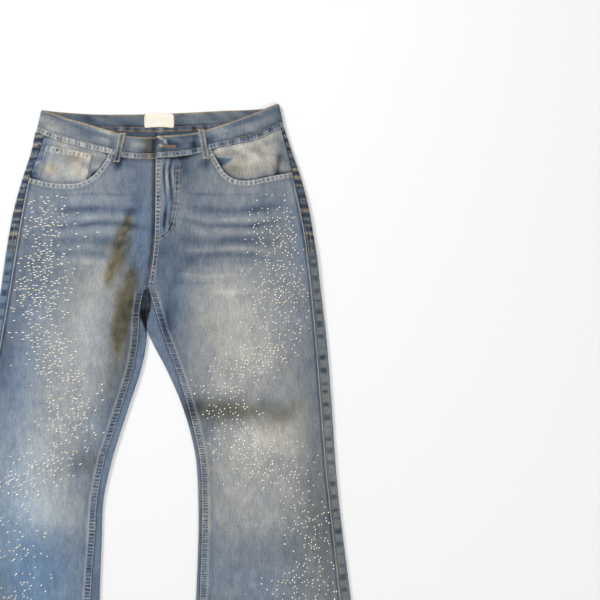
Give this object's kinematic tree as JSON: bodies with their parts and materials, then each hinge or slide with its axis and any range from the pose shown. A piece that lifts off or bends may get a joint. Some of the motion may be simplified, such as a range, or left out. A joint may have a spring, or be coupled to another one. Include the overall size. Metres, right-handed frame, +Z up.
{
  "type": "flared jeans",
  "caption": "Flared denim jeans laid flat, front up, with a waistband, belt loops, scooped front pockets and turned hems.",
  "frame": {"origin": "centre of the footprint on the surface that the jeans lie on", "axes": "+X towards the viewer's right leg, +Y towards the waist, +Z up out of the front"},
  "size_m": [0.783, 1.122, 0.0113],
  "materials": {
    "denim": "stone-washed blue denim, faded at the thighs and knees",
    "denim_back": "stone-washed blue denim, less faded",
    "label": "cream woven tape, bare",
    "thread": "pale tan sewing thread",
    "thread_orange": "orange-brown sewing thread of bar tacks and the buttonhole",
    "rhinestone": "small faceted cream stones pressed on the cloth",
    "zip_tape": "dark woven tape with closed teeth",
    "brass": "aged brass"
  },
  "bodies": {
    "root": {"front_left": "denim", "front_right": "denim", "back_left": "denim_back", "back_right": "denim_back", "yoke_left": "denim_back", "yoke_right": "denim_back", "waistband": "denim", "facing_left": "denim", "facing_right": "denim", "coin_pocket": "denim", "back_pocket_left": "denim_back", "back_pocket_right": "denim_back", "loop_front_left": "denim", "loop_front_right": "denim", "loop_back_left": "denim_back", "loop_back_centre": "denim_back", "loop_back_right": "denim_back", "label": "label", "fly_shield": "denim_back", "zip": "zip_tape", "zip_slider": "brass", "waist_button": "brass"}
  },
  "joints": []
}
